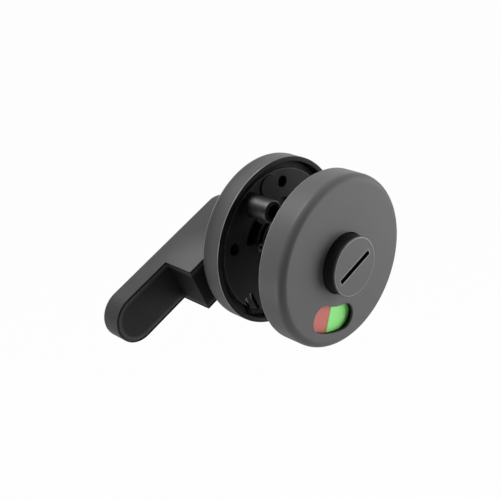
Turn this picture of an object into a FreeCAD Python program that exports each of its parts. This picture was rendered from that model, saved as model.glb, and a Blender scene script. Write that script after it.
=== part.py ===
import FreeCAD, Part
import math
import os
import re
import Sketcher

# Bathroom thumb turn and coin release on two round roses, joined by a square spindle.
# The spindle runs along Y. The release side faces -Y, the thumb turn faces +Y, and +Z is up.
# The origin lies on the spindle's axis, in the plane where the outer rose meets the panel.
# Lengths are in millimetres. Angles are in degrees, from +X towards +Z.

doc = FreeCAD.newDocument("thumb_turn_lock")
sheet = doc.addObject("Spreadsheet::Sheet", "Sizes")
pieces = []

# Driving dimensions, each in a row of the sheet under its own name

SIZES = {
    # Plan of the roses, from the fixings outwards: they come to 52 mm across
    "fixing_circle": 18.2,
    "plate_margin": 4.0,
    "flange_step": 2.15,
    "plate_clearance": 0.15,
    "cover_wall": 1.5,
    # Heights of the plates and covers, counted outwards from the panel
    "panel_gap": 16.4,
    "plate_recess": 1.25,
    "plate_flange": 1.6,
    "clip_pocket_depth": 2.1,
    "inner_floor": 1.55,
    "outer_floor": 1.9,
    "outer_boss": 0.65,
    "cover_gap": 0.2,
    "cover_face": 1.5,
    "cover_round": 2.4,
    "bead_depth": 0.35,
    "bead_width": 1.6,
    # Base plates
    "clip_pocket_radius": 8.4,
    "wood_screw_hole": 3.6,
    "peg_hole": 1.1,
    "rib_inner_wall": 1.0,
    "rib_outer_wall": 0.3,
    "rib_pocket_start": 142.0,
    "rib_pocket_sweep": 37.0,
    "rib_pocket_floor": 1.2,
    "pad_angle": 105.3,
    "pad_radius": 3.7,
    "pad_depth": 0.35,
    "snap_arm_angle": 236.0,
    "snap_arm_inset": 2.6,
    "snap_arm_lean": 304.0,
    "snap_arm_length": 8.2,
    "snap_arm_width": 1.9,
    "snap_slot": 0.8,
    "snap_arm_drop": 0.35,
    # Shanks, with the rings and washers on them
    "shank_radius": 5.0,
    "shank_fit": 0.06,
    "end_play": 0.05,
    "washer_thickness": 0.5,
    "washer_radius": 7.4,
    "friction_thickness": 0.5,
    "clip_thickness": 1.0,
    "clip_groove": 0.3,
    "clip_width": 1.5,
    "clip_offset": 0.25,
    "clip_lug_radius": 1.25,
    "clip_lug_circle": 6.9,
    "clip_lug_angle": 20.0,
    "clip_lug_hole": 0.6,
    "clip_gap_angle": 9.0,
    "spindle_side": 5.0,
    "spindle_fit": 0.1,
    # Thumb turn and its bush
    "turn_angle": 212.7,
    "hub_clearance": 2.8,
    "hub_depth": 11.2,
    "blade_thickness": 7.0,
    "lever_width": 15.8,
    "hub_reach": 27.1,
    "blade_reach": 51.5,
    "blade_round": 0.9,
    "hub_round": 0.6,
    "neck_radius": 7.4,
    "neck_fit": 0.25,
    "turn_socket_depth": 16.6,
    "bush_wall": 1.2,
    "bush_flange_radius": 8.6,
    "bush_flange": 0.7,
    # Fixing posts and the threaded inserts opposite them
    "post_angle": 135.0,
    "post_diameter": 6.8,
    "post_reach": 8.0,
    "post_bore": 4.3,
    "post_lead": 0.36,
    "post_flange_radius": 4.6,
    "post_flange": 0.9,
    "bolt_head": 7.5,
    "boss_radius": 3.6,
    "boss_height": 1.8,
    "boss_taper": 10.0,
    "insert_bore": 3.3,
    # Release button, indicator and window
    "button_radius": 8.9,
    "button_reach": 4.0,
    "button_fit": 0.3,
    "button_bevel": 0.45,
    "coin_slot_length": 13.2,
    "coin_slot_width": 1.5,
    "coin_slot_depth": 2.2,
    "release_socket_depth": 7.4,
    "key_square": 10.6,
    "key_fit": 0.1,
    "disc_lap": 1.25,
    "disc_thickness": 0.8,
    "label_thickness": 0.25,
    "label_lap": 0.65,
    "label_sweep": 89.0,
    "window_gap": 0.3,
    "window_inset": 4.65,
    "window_width": 8.3,
    "window_centre": 262.0,
    "window_half_span": 15.5,
    "window_edge": 0.25,
}

for row, (name, number) in enumerate(SIZES.items(), start=1):
    sheet.set(f"A{row}", name)
    sheet.set(f"B{row}", str(number))
    sheet.setAlias(f"B{row}", name)
sheet.recompute()


def bound(expression):
    """The expression with each size read from the sheet."""
    return re.sub(r"[a-z]\w*", lambda word: "Sizes." + word[0] if word[0] in SIZES else word[0], expression)


def value(expression):
    """The number that an expression gives at the present sizes."""
    return float(sheet.evalExpression(bound(expression)))


# Sketches, their dimensions and the features made from them

def new_piece(label):
    """An empty body for one piece of the lock."""
    made = doc.addObject("PartDesign::Body", label)
    made.Label = label
    pieces.append(made)
    return made


def origin_plane(piece, role):
    """One of the piece's own origin planes or axes."""
    return next(feature for feature in piece.Origin.OriginFeatures if feature.Role == role)


def cross_sketch(piece, name, height, turn="0"):
    """A sketch square to the spindle, at a height along Y, turned about the spindle."""
    sketch = piece.newObject("Sketcher::SketchObject", name)
    sketch.AttachmentSupport = [(origin_plane(piece, "XZ_Plane"), "")]
    sketch.MapMode = "FlatFace"
    sketch.AttachmentOffset = FreeCAD.Placement(
        FreeCAD.Vector(0, 0, -value(height)), FreeCAD.Rotation(FreeCAD.Vector(0, 0, 1), value(turn)))
    sketch.setExpression("AttachmentOffset.Base.z", bound(f"-({height})"))
    if turn != "0":
        sketch.setExpression("AttachmentOffset.Rotation.Angle", bound(turn))
    return sketch


def radial_sketch(piece, name):
    """A sketch in the plane of the spindle, with radius along X and height along Y."""
    sketch = piece.newObject("Sketcher::SketchObject", name)
    sketch.AttachmentSupport = [(origin_plane(piece, "XY_Plane"), "")]
    sketch.MapMode = "FlatFace"
    return sketch


def drive(sketch, name, constraint, expression):
    """Add a dimension to a sketch and bind it to the sheet."""
    number = sketch.addConstraint(constraint)
    sketch.renameConstraint(number, name)
    sketch.setExpression(f"Constraints.{name}", bound(expression))


def pin(sketch, name, edge, end, across, along):
    """Hold one point of an edge at two dimensions from the sketch's origin."""
    if across == "0":
        sketch.addConstraint(Sketcher.Constraint("PointOnObject", edge, end, -2))
    else:
        drive(sketch, f"{name}_across",
              Sketcher.Constraint("DistanceX", -1, 1, edge, end, value(across)), across)
    if along == "0":
        sketch.addConstraint(Sketcher.Constraint("PointOnObject", edge, end, -1))
    else:
        drive(sketch, f"{name}_along",
              Sketcher.Constraint("DistanceY", -1, 1, edge, end, value(along)), along)


def circle(sketch, name, radius, across="0", along="0"):
    """A circle with its radius and centre bound to the sheet."""
    centre = FreeCAD.Vector(value(across), value(along), 0)
    edge = sketch.addGeometry(Part.Circle(centre, FreeCAD.Vector(0, 0, 1), value(radius)))
    drive(sketch, f"{name}_radius", Sketcher.Constraint("Radius", edge, value(radius)), radius)
    pin(sketch, name, edge, 3, across, along)


def outline(sketch, name, corners):
    """A closed outline of straight edges, each corner bound to the sheet."""
    points = [FreeCAD.Vector(value(across), value(along), 0) for across, along in corners]
    first = sketch.GeometryCount
    count = len(points)
    for number in range(count):
        sketch.addGeometry(Part.LineSegment(points[number], points[(number + 1) % count]))
    for number in range(count):
        sketch.addConstraint(
            Sketcher.Constraint("Coincident", first + number, 2, first + (number + 1) % count, 1))
    for number, (across, along) in enumerate(corners):
        pin(sketch, f"{name}{number}", first + number, 1, across, along)


def rectangle(sketch, name, length, width):
    """A rectangle centred on the spindle."""
    outline(sketch, name, [(f"({length}) / 2", f"({width}) / 2"), (f"-({length}) / 2", f"({width}) / 2"),
                           (f"-({length}) / 2", f"-({width}) / 2"), (f"({length}) / 2", f"-({width}) / 2")])


def arc_edge(sketch, radius, start, end, across=0.0, along=0.0):
    """An arc, with its angles in degrees, still free to be constrained."""
    ring = Part.Circle(FreeCAD.Vector(across, along, 0), FreeCAD.Vector(0, 0, 1), radius)
    return sketch.addGeometry(Part.ArcOfCircle(ring, math.radians(start), math.radians(end)))


def sector(sketch, name, least, most, start, end):
    """A piece of a ring between two radii and two angles."""
    low, high = value(start), value(end)
    inside, outside = value(least), value(most)
    wide = arc_edge(sketch, outside, low, high)
    narrow = arc_edge(sketch, inside, low, high)
    for edge, radius, part in ((wide, most, "outer"), (narrow, least, "inner")):
        sketch.addConstraint(Sketcher.Constraint("Coincident", edge, 3, -1, 1))
        drive(sketch, f"{name}_{part}", Sketcher.Constraint("Radius", edge, value(radius)), radius)
    for end_point, angle_text, angle in ((1, start, low), (2, end, high)):
        turn = math.radians(angle)
        direction = FreeCAD.Vector(math.cos(turn), math.sin(turn), 0)
        side = sketch.addGeometry(Part.LineSegment(direction * inside, direction * outside))
        sketch.addConstraint(Sketcher.Constraint("Coincident", side, 1, narrow, end_point))
        sketch.addConstraint(Sketcher.Constraint("Coincident", side, 2, wide, end_point))
        for point, radius, part in ((1, least, "inner"), (2, most, "outer")):
            label = f"{name}_{part}{end_point}"
            if abs(direction.y) > abs(direction.x):
                place = f"({radius}) * cos({angle_text})"
                drive(sketch, label,
                      Sketcher.Constraint("DistanceX", -1, 1, side, point, value(place)), place)
            else:
                place = f"({radius}) * sin({angle_text})"
                drive(sketch, label,
                      Sketcher.Constraint("DistanceY", -1, 1, side, point, value(place)), place)


def ring_slot(sketch, name, middle, half_width, centre, half_span):
    """A slot that follows a circle about the spindle and ends in two half circles."""
    low, high = value(f"{centre} - {half_span}"), value(f"{centre} + {half_span}")
    radius, reach = value(middle), value(half_width)
    wide = arc_edge(sketch, radius + reach, low, high)
    narrow = arc_edge(sketch, radius - reach, low, high)
    caps = []
    for angle, start in ((high, high), (low, low + 180)):
        turn = math.radians(angle)
        caps.append(arc_edge(sketch, reach, start, start + 180,
                             radius * math.cos(turn), radius * math.sin(turn)))
    for edge, text, part in ((wide, f"{middle} + {half_width}", "outer"),
                             (narrow, f"{middle} - {half_width}", "inner")):
        sketch.addConstraint(Sketcher.Constraint("Coincident", edge, 3, -1, 1))
        drive(sketch, f"{name}_{part}", Sketcher.Constraint("Radius", edge, value(text)), text)
    sketch.addConstraint(Sketcher.Constraint("Tangent", wide, 2, caps[0], 1))
    sketch.addConstraint(Sketcher.Constraint("Tangent", caps[0], 2, narrow, 2))
    sketch.addConstraint(Sketcher.Constraint("Tangent", narrow, 1, caps[1], 1))
    sketch.addConstraint(Sketcher.Constraint("Tangent", caps[1], 2, wide, 1))
    for cap, sign, part in ((caps[0], "+", "high"), (caps[1], "-", "low")):
        place = f"({middle}) * cos({centre} {sign} {half_span})"
        drive(sketch, f"{name}_{part}", Sketcher.Constraint("DistanceX", -1, 1, cap, 3, value(place)), place)


def pad(piece, sketch, low, high):
    """Fill a sketch from the lower height along Y to the higher one."""
    made = piece.newObject("PartDesign::Pad", sketch.Name + "_pad")
    made.Profile = sketch
    made.Reversed = True
    made.setExpression("Length", bound(f"({high}) - ({low})"))
    made.Refine = True
    doc.recompute()
    return made


def pocket(piece, sketch, low, high):
    """Cut a sketch out from the lower height along Y to the higher one."""
    before = piece.Shape.Volume
    made = piece.newObject("PartDesign::Pocket", sketch.Name + "_cut")
    made.Profile = sketch
    made.setExpression("Length", bound(f"({high}) - ({low})"))
    made.Refine = True
    doc.recompute()
    if not made.Shape.Volume < before - 1e-4:
        raise RuntimeError(f"{made.Name} cuts nothing")
    return made


def turned(piece, name, corners):
    """Turn a closed outline of radius and height pairs about the spindle."""
    sketch = radial_sketch(piece, name)
    outline(sketch, name, corners)
    made = piece.newObject("PartDesign::Revolution", name + "_turned")
    made.Profile = sketch
    made.ReferenceAxis = (sketch, ["V_Axis"])
    made.Angle = 360
    doc.recompute()
    return made


def around(piece, feature, count):
    """Repeat a feature evenly about the spindle."""
    made = piece.newObject("PartDesign::PolarPattern", feature.Name + "_around")
    made.Originals = [feature]
    made.Axis = (origin_plane(piece, "Y_Axis"), [""])
    made.Angle = 360
    made.Occurrences = count
    piece.Tip = made
    doc.recompute()
    return made


def picked_edges(shape, wanted):
    """The names of the edges whose every sampled point passes a test."""
    found = []
    for number, edge in enumerate(shape.Edges, start=1):
        points = edge.discretize(7)
        if all(wanted(point) for point in points):
            found.append(f"Edge{number}")
    return found


def soften(piece, name, kind, amount, wanted):
    """Round or bevel the edges of the present shape that pass a test."""
    base = piece.Tip
    made = piece.newObject("PartDesign::" + kind, name)
    made.Base = (base, picked_edges(base.Shape, wanted))
    made.setExpression("Radius" if kind == "Fillet" else "Size", bound(amount))
    doc.recompute()
    return made


def radius_of(point):
    """Distance of a point from the spindle's axis."""
    return math.hypot(point.x, point.z)


def close(first, second):
    """Whether two lengths are the same on the finished piece."""
    return abs(first - second) < 1e-3


# The two sides of the door, and what is worked out from the driving dimensions

class Side:
    """Heights on one side of the door, counted outwards from the panel."""

    def __init__(self, name, panel, outwards):
        self.name = name
        self.panel = panel
        self.outwards = outwards

    def at(self, depth):
        """The height along Y of a depth counted outwards from the panel."""
        return f"{self.panel} {self.outwards} ({depth})"

    def between(self, near, far):
        """Two depths as heights along Y, the lower one first."""
        if self.outwards == "+":
            return self.at(near), self.at(far)
        return self.at(far), self.at(near)


outer = Side("outer", "0", "-")
inner = Side("inner", "panel_gap", "+")

PLATE_EDGE = "fixing_circle + plate_margin"
FLANGE_EDGE = f"{PLATE_EDGE} + flange_step"
COVER_BORE = f"{FLANGE_EDGE} + plate_clearance"
ROSE_EDGE = f"{COVER_BORE} + cover_wall"
WINDOW_MOST = f"{ROSE_EDGE} - window_inset"
WINDOW_LEAST = f"{WINDOW_MOST} - window_width"

SHANK_END = "plate_recess"
FLOOR = "plate_recess + clip_pocket_depth"
CLIP_FAR = f"{FLOOR} - 2 * end_play - washer_thickness"

INNER_BACK = f"{FLOOR} + inner_floor"
INNER_FACE = f"{INNER_BACK} + post_flange + cover_gap + cover_face"
BUSH_FACE = f"{INNER_BACK} + bush_flange"
NECK_END = f"{BUSH_FACE} + friction_thickness + 2 * end_play"
HUB_FACE = f"{INNER_FACE} + hub_clearance"
BLADE_FACE = f"{HUB_FACE} + hub_depth"
BLADE_BACK = f"{BLADE_FACE} + blade_thickness"

BOSS_FACE = f"{FLOOR} + outer_floor"
OUTER_BACK = f"{BOSS_FACE} - outer_boss"
DISC_BACK = f"{BOSS_FACE} + friction_thickness + 2 * end_play"
DISC_FACE = f"{DISC_BACK} + disc_thickness"
LABEL_FACE = f"{DISC_FACE} + label_thickness"
OUTER_FACE = f"{LABEL_FACE} + window_gap + cover_face"
BUTTON_FACE = f"{OUTER_FACE} + button_reach"


# Covers: one spun metal cup on each side, with a groove inside the rim that snaps over the plate

def rose_cover(side, face_depth, opening):
    """A shallow cup with a round opening for what turns in it."""
    cover = new_piece(f"{side.name}_rose_cover")
    inside = f"{face_depth} - cover_face"
    bead = "plate_recess + plate_flange"
    turned(cover, f"{side.name}_cup", [
        (ROSE_EDGE, side.at("0")),
        (ROSE_EDGE, side.at(face_depth)),
        (opening, side.at(face_depth)),
        (opening, side.at(inside)),
        (COVER_BORE, side.at(inside)),
        (COVER_BORE, side.at(f"{bead} + bead_width")),
        (f"{COVER_BORE} + bead_depth", side.at(f"{bead} + bead_width - bead_depth")),
        (f"{COVER_BORE} + bead_depth", side.at(f"{bead} + bead_depth")),
        (COVER_BORE, side.at(bead)),
        (COVER_BORE, side.at("0")),
    ])
    face, rim = value(side.at(face_depth)), value(ROSE_EDGE)
    soften(cover, f"{side.name}_face_round", "Fillet", "cover_round",
           lambda point: close(point.y, face) and close(radius_of(point), rim))
    return cover


# Base plates: glass-filled nylon mouldings that carry the moving parts and take the fixings

def base_plate(side, back, bore, boss_height):
    """The moulded disc with its bore, clip pocket, screw holes, ribs and snap arm."""
    plate = new_piece(f"{side.name}_base_plate")
    flange_face = "plate_recess + plate_flange"
    turned(plate, f"{side.name}_disc", [
        (bore, side.at(back)),
        (bore, side.at(FLOOR)),
        ("clip_pocket_radius", side.at(FLOOR)),
        ("clip_pocket_radius", side.at("plate_recess")),
        (PLATE_EDGE, side.at("plate_recess")),
        (PLATE_EDGE, side.at(flange_face)),
        (FLANGE_EDGE, side.at(flange_face)),
        (FLANGE_EDGE, side.at(back)),
    ])

    low, high = side.between("plate_recess", back)
    screws = cross_sketch(plate, f"{side.name}_screw_hole", low)
    circle(screws, "hole", "wood_screw_hole / 2", "fixing_circle", "0")
    around(plate, pocket(plate, screws, low, high), 4)

    pegs = cross_sketch(plate, f"{side.name}_peg_hole", low)
    circle(pegs, "hole", "peg_hole / 2", f"({PLATE_EDGE} + {FLANGE_EDGE}) / 2", "0")
    around(plate, pocket(plate, pegs, low, high), 2)

    post_place = "fixing_circle * cos(post_angle)", "fixing_circle * sin(post_angle)"
    if boss_height != "0":
        low, high = side.between(f"plate_recess - {boss_height}", "plate_recess")
        bosses = cross_sketch(plate, f"{side.name}_boss", low)
        circle(bosses, "boss", "boss_radius", *post_place)
        boss = pad(plate, bosses, low, high)
        boss.setExpression("TaperAngle", bound("boss_taper"))
        around(plate, boss, 2)
    low, high = side.between(f"plate_recess - {boss_height}", back)
    posts = cross_sketch(plate, f"{side.name}_post_hole", low)
    circle(posts, "hole", "post_diameter / 2 + shank_fit", *post_place)
    around(plate, pocket(plate, posts, low, high), 2)

    low, high = side.between("plate_recess", f"{back} - rib_pocket_floor")
    ribs = cross_sketch(plate, f"{side.name}_rib_pocket", low)
    sector(ribs, "pocket", "clip_pocket_radius + rib_inner_wall",
           "fixing_circle - post_flange_radius - rib_outer_wall",
           "rib_pocket_start", "rib_pocket_start + rib_pocket_sweep")
    around(plate, pocket(plate, ribs, low, high), 4)

    low, high = side.between("plate_recess", "plate_recess + pad_depth")
    seats = cross_sketch(plate, f"{side.name}_pad", low)
    circle(seats, "pad", "pad_radius", "fixing_circle * cos(pad_angle)", "fixing_circle * sin(pad_angle)")
    around(plate, pocket(plate, seats, low, high), 2)

    snap_arm(plate, side, flange_face)
    return plate


def snap_arm(plate, side, flange_face):
    """Two slots that free a springy arm, which presses on the bead inside the cover."""
    circle_radius = f"({PLATE_EDGE} - snap_arm_inset)"
    start = f"{circle_radius} * cos(snap_arm_angle)", f"{circle_radius} * sin(snap_arm_angle)"
    low, high = side.between("plate_recess", flange_face)
    for name, offset in (("near", "snap_arm_width / 2"), ("far", "-snap_arm_width / 2 - snap_slot")):
        slot = cross_sketch(plate, f"{side.name}_arm_{name}", low)
        corners = []
        for run, step in (("0", "0"), ("snap_arm_length", "0"),
                          ("snap_arm_length", "snap_slot"), ("0", "snap_slot")):
            reach = f"({offset} + {step})"
            corners.append((f"{start[0]} + {run} * cos(snap_arm_lean) - {reach} * sin(snap_arm_lean)",
                            f"{start[1]} + {run} * sin(snap_arm_lean) + {reach} * cos(snap_arm_lean)"))
        outline(slot, "slot", corners)
        pocket(plate, slot, low, high)

    low, high = side.between("plate_recess", "plate_recess + snap_arm_drop")
    step = cross_sketch(plate, f"{side.name}_arm_step", low)
    corners = []
    for run, reach in (("0", "snap_arm_width / 2"), ("snap_arm_length", "snap_arm_width / 2"),
                       ("snap_arm_length", "-snap_arm_width / 2"), ("0", "-snap_arm_width / 2")):
        corners.append((f"{start[0]} + {run} * cos(snap_arm_lean) - ({reach}) * sin(snap_arm_lean)",
                        f"{start[1]} + {run} * sin(snap_arm_lean) + ({reach}) * cos(snap_arm_lean)"))
    outline(step, "step", corners)
    pocket(plate, step, low, high)


# Washer and retaining ring that hold each turning shank in its plate


def thrust_washer(side, label):
    """A steel washer between the plate's pocket floor and the retaining ring."""
    washer = new_piece(label)
    low, high = side.between(f"{FLOOR} - end_play - washer_thickness", f"{FLOOR} - end_play")
    ring = cross_sketch(washer, f"{label}_ring", low)
    circle(ring, "edge", "washer_radius")
    circle(ring, "bore", "shank_radius + shank_fit")
    pad(washer, ring, low, high)
    return washer


def retaining_ring(side, label, facing):
    """An external circlip: a tapering open ring with two eared ends."""
    clip = new_piece(label)
    low, high = side.between(f"{CLIP_FAR} - clip_thickness", CLIP_FAR)
    seat = "shank_radius - clip_groove + shank_fit"
    band = cross_sketch(clip, f"{label}_band", low, facing)
    circle(band, "edge", f"{seat} + clip_width", "-clip_offset")
    pad(clip, band, low, high)
    for name, sign in (("upper", ""), ("lower", "-")):
        lug = cross_sketch(clip, f"{label}_{name}_lug", low, facing)
        circle(lug, "lug", "clip_lug_radius", "clip_lug_circle * cos(clip_lug_angle)",
               f"{sign}clip_lug_circle * sin(clip_lug_angle)")
        pad(clip, lug, low, high)
        hole = cross_sketch(clip, f"{label}_{name}_eye", low, facing)
        circle(hole, "eye", "clip_lug_hole", "clip_lug_circle * cos(clip_lug_angle)",
               f"{sign}clip_lug_circle * sin(clip_lug_angle)")
        pocket(clip, hole, low, high)
    bore = cross_sketch(clip, f"{label}_bore", low, facing)
    circle(bore, "bore", seat)
    pocket(clip, bore, low, high)
    gap = cross_sketch(clip, f"{label}_gap", low, facing)
    reach = "(clip_lug_circle + 2 * clip_lug_radius)"
    outline(gap, "gap", [("0", "0"), (f"{reach} * cos(clip_gap_angle)", f"-{reach} * sin(clip_gap_angle)"),
                         (f"{reach} * cos(clip_gap_angle)", f"{reach} * sin(clip_gap_angle)")])
    pocket(clip, gap, low, high)
    return clip


def clip_groove_in(piece, side, label):
    """The groove in a shank that the retaining ring snaps into."""
    low, high = side.between(f"{CLIP_FAR} - clip_thickness - end_play", f"{CLIP_FAR} + end_play")
    ring = cross_sketch(piece, f"{label}_clip_groove", low)
    circle(ring, "outside", "shank_radius + clip_width")
    circle(ring, "root", "shank_radius - clip_groove")
    pocket(piece, ring, low, high)


def spindle_socket(piece, side, label, far):
    """A blind square socket from the shank's end up to a depth from the panel."""
    low, high = side.between(SHANK_END, far)
    socket = cross_sketch(piece, f"{label}_socket", low, "turn_angle")
    rectangle(socket, "socket", "spindle_side + spindle_fit", "spindle_side + spindle_fit")
    pocket(piece, socket, low, high)


# Thumb turn: one casting with a rounded hub, a stepped blade, a neck and a turned shank

def blade_outline(sketch):
    """Parallel sides that end in a half circle at the tip and about the spindle."""
    half = value("lever_width / 2")
    reach = value("blade_reach - lever_width / 2")
    back = arc_edge(sketch, half, 90, 270)
    tip = arc_edge(sketch, half, -90, 90, reach, 0)
    upper = sketch.addGeometry(Part.LineSegment(FreeCAD.Vector(0, half, 0), FreeCAD.Vector(reach, half, 0)))
    lower = sketch.addGeometry(Part.LineSegment(FreeCAD.Vector(reach, -half, 0), FreeCAD.Vector(0, -half, 0)))
    sketch.addConstraint(Sketcher.Constraint("Tangent", upper, 1, back, 1))
    sketch.addConstraint(Sketcher.Constraint("Tangent", upper, 2, tip, 2))
    sketch.addConstraint(Sketcher.Constraint("Tangent", lower, 1, tip, 1))
    sketch.addConstraint(Sketcher.Constraint("Tangent", lower, 2, back, 2))
    sketch.addConstraint(Sketcher.Constraint("Horizontal", upper))
    sketch.addConstraint(Sketcher.Constraint("Coincident", back, 3, -1, 1))
    drive(sketch, "half_width", Sketcher.Constraint("Radius", back, half), "lever_width / 2")
    sketch.addConstraint(Sketcher.Constraint("PointOnObject", tip, 3, -1))
    drive(sketch, "reach", Sketcher.Constraint("DistanceX", -1, 1, tip, 3, reach),
          "blade_reach - lever_width / 2")


def hub_outline(sketch):
    """The same sides, cut square at the end wall under the blade."""
    half = value("lever_width / 2")
    reach = value("hub_reach")
    back = arc_edge(sketch, half, 90, 270)
    upper = sketch.addGeometry(Part.LineSegment(FreeCAD.Vector(0, half, 0), FreeCAD.Vector(reach, half, 0)))
    corner = FreeCAD.Vector(reach, half, 0), FreeCAD.Vector(reach, -half, 0)
    wall = sketch.addGeometry(Part.LineSegment(corner[0], corner[1]))
    lower = sketch.addGeometry(Part.LineSegment(corner[1], FreeCAD.Vector(0, -half, 0)))
    sketch.addConstraint(Sketcher.Constraint("Tangent", upper, 1, back, 1))
    sketch.addConstraint(Sketcher.Constraint("Coincident", upper, 2, wall, 1))
    sketch.addConstraint(Sketcher.Constraint("Coincident", wall, 2, lower, 1))
    sketch.addConstraint(Sketcher.Constraint("Tangent", lower, 2, back, 2))
    sketch.addConstraint(Sketcher.Constraint("Horizontal", upper))
    sketch.addConstraint(Sketcher.Constraint("Horizontal", lower))
    sketch.addConstraint(Sketcher.Constraint("Vertical", wall))
    sketch.addConstraint(Sketcher.Constraint("Coincident", back, 3, -1, 1))
    drive(sketch, "half_width", Sketcher.Constraint("Radius", back, half), "lever_width / 2")
    drive(sketch, "reach", Sketcher.Constraint("DistanceX", -1, 1, wall, 1, reach), "hub_reach")


def thumb_turn():
    """The lever that is turned by hand."""
    lever = new_piece("thumb_turn_lever")
    blade = cross_sketch(lever, "blade", inner.at(BLADE_FACE), "turn_angle")
    blade_outline(blade)
    pad(lever, blade, inner.at(BLADE_FACE), inner.at(BLADE_BACK))
    hub = cross_sketch(lever, "hub", inner.at(HUB_FACE), "turn_angle")
    hub_outline(hub)
    pad(lever, hub, inner.at(HUB_FACE), inner.at(BLADE_FACE))

    back, front = value(inner.at(BLADE_BACK)), value(inner.at(HUB_FACE))
    soften(lever, "blade_edges", "Fillet", "blade_round", lambda point: close(point.y, back))
    soften(lever, "hub_edges", "Fillet", "hub_round", lambda point: close(point.y, front))

    neck = cross_sketch(lever, "neck", inner.at(NECK_END))
    circle(neck, "neck", "neck_radius")
    pad(lever, neck, inner.at(NECK_END), inner.at(HUB_FACE))
    shank = cross_sketch(lever, "turn_shank", inner.at(SHANK_END))
    circle(shank, "shank", "shank_radius")
    pad(lever, shank, inner.at(SHANK_END), inner.at(NECK_END))
    clip_groove_in(lever, inner, "turn")
    spindle_socket(lever, inner, "turn", "turn_socket_depth")
    return lever


# Inner side: cover, plate, bearing bush, friction washer and the two fixing posts

def turn_bush():
    """A flanged nylon bearing for the thumb turn's shank."""
    bush = new_piece("turn_bush")
    bore = "shank_radius + shank_fit"
    wall = "shank_radius + shank_fit + bush_wall"
    turned(bush, "bush", [
        (bore, inner.at(f"{FLOOR} + end_play")),
        (wall, inner.at(f"{FLOOR} + end_play")),
        (wall, inner.at(INNER_BACK)),
        ("bush_flange_radius", inner.at(INNER_BACK)),
        ("bush_flange_radius", inner.at(BUSH_FACE)),
        (bore, inner.at(BUSH_FACE)),
    ])
    return bush


def friction_washer(side, label, near):
    """A spring washer that steadies what turns against it."""
    washer = new_piece(label)
    low, high = side.between(near, f"{near} + friction_thickness")
    ring = cross_sketch(washer, f"{label}_ring", low)
    circle(ring, "edge", "washer_radius")
    circle(ring, "bore", "shank_radius + shank_fit")
    pad(washer, ring, low, high)
    return washer


def fixing_post(label, angle):
    """A hollow steel post that stands in the panel, countersunk for the head of its bolt."""
    post = new_piece(label)
    across, along = f"fixing_circle * cos({angle})", f"fixing_circle * sin({angle})"
    low, high = inner.between("-post_reach", INNER_BACK)
    tube = cross_sketch(post, f"{label}_tube", low)
    circle(tube, "tube", "post_diameter / 2", across, along)
    pad(post, tube, low, high)
    seat = cross_sketch(post, f"{label}_seat", high)
    circle(seat, "seat", "post_flange_radius", across, along)
    pad(post, seat, high, f"{high} + post_flange")
    bore = cross_sketch(post, f"{label}_bolt_bore", low)
    circle(bore, "bore", "post_bore / 2", across, along)
    pocket(post, bore, low, f"{high} + post_flange")
    for name, amount, level, radius in (
            ("lead", "post_lead", low, "post_diameter / 2"),
            ("head_seat", "(bolt_head - post_bore) / 2", f"{high} + post_flange", "post_bore / 2")):
        edge = value(level), value(radius), value(across), value(along)
        soften(post, f"{label}_{name}", "Chamfer", amount,
               lambda point: close(point.y, edge[0])
               and close(math.hypot(point.x - edge[2], point.z - edge[3]), edge[1]))
    return post


rose_cover(inner, INNER_FACE, "neck_radius + neck_fit")
base_plate(inner, INNER_BACK, "shank_radius + 2 * shank_fit + bush_wall", "boss_height")
fixing_post("fixing_post_upper", "post_angle")
fixing_post("fixing_post_lower", "(post_angle + 180)")
turn_bush()
friction_washer(inner, "turn_friction_washer", f"{BUSH_FACE} + end_play")
thumb_turn()
thrust_washer(inner, "turn_thrust_washer")
retaining_ring(inner, "turn_circlip", "turn_angle")


# Outer side: release button, indicator disc, labels, plate and cover with its window

def release_button():
    """The coin release: a turned head, a square key for the disc and a shank with a groove."""
    button = new_piece("release_button")
    turned(button, "button", [
        ("0", outer.at(BUTTON_FACE)),
        ("button_radius", outer.at(BUTTON_FACE)),
        ("button_radius", outer.at(DISC_FACE)),
        ("shank_radius", outer.at(DISC_FACE)),
        ("shank_radius", outer.at(SHANK_END)),
        ("0", outer.at(SHANK_END)),
    ])
    low, high = outer.between(DISC_BACK, DISC_FACE)
    key = cross_sketch(button, "disc_key", low, "turn_angle")
    rectangle(key, "key", "key_square", "key_square")
    pad(button, key, low, high)
    low, high = outer.between(f"{BUTTON_FACE} - coin_slot_depth", BUTTON_FACE)
    slot = cross_sketch(button, "coin_slot", low, "turn_angle")
    rectangle(slot, "slot", "coin_slot_length", "coin_slot_width")
    pocket(button, slot, low, high)
    face, rim = value(outer.at(BUTTON_FACE)), value("button_radius")
    soften(button, "button_rim", "Chamfer", "button_bevel",
           lambda point: close(point.y, face) and close(radius_of(point), rim))
    clip_groove_in(button, outer, "release")
    spindle_socket(button, outer, "release", "release_socket_depth")
    return button


def indicator_disc():
    """A moulded disc keyed to the button, which carries the two coloured labels."""
    disc = new_piece("indicator_disc")
    low, high = outer.between(DISC_BACK, DISC_FACE)
    face = cross_sketch(disc, "indicator_face", low, "turn_angle")
    circle(face, "edge", f"{WINDOW_MOST} + disc_lap")
    rectangle(face, "key", "key_square + key_fit", "key_square + key_fit")
    pad(disc, face, low, high)
    return disc


def indicator_label(label, start, end):
    """A coloured label that covers its share of the disc."""
    sticker = new_piece(label)
    low, high = outer.between(DISC_FACE, LABEL_FACE)
    shape = cross_sketch(sticker, f"{label}_shape", low)
    sector(shape, "label", f"{WINDOW_LEAST} - label_lap", f"{WINDOW_MOST} + label_lap", start, end)
    pad(sticker, shape, low, high)
    return sticker


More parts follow.
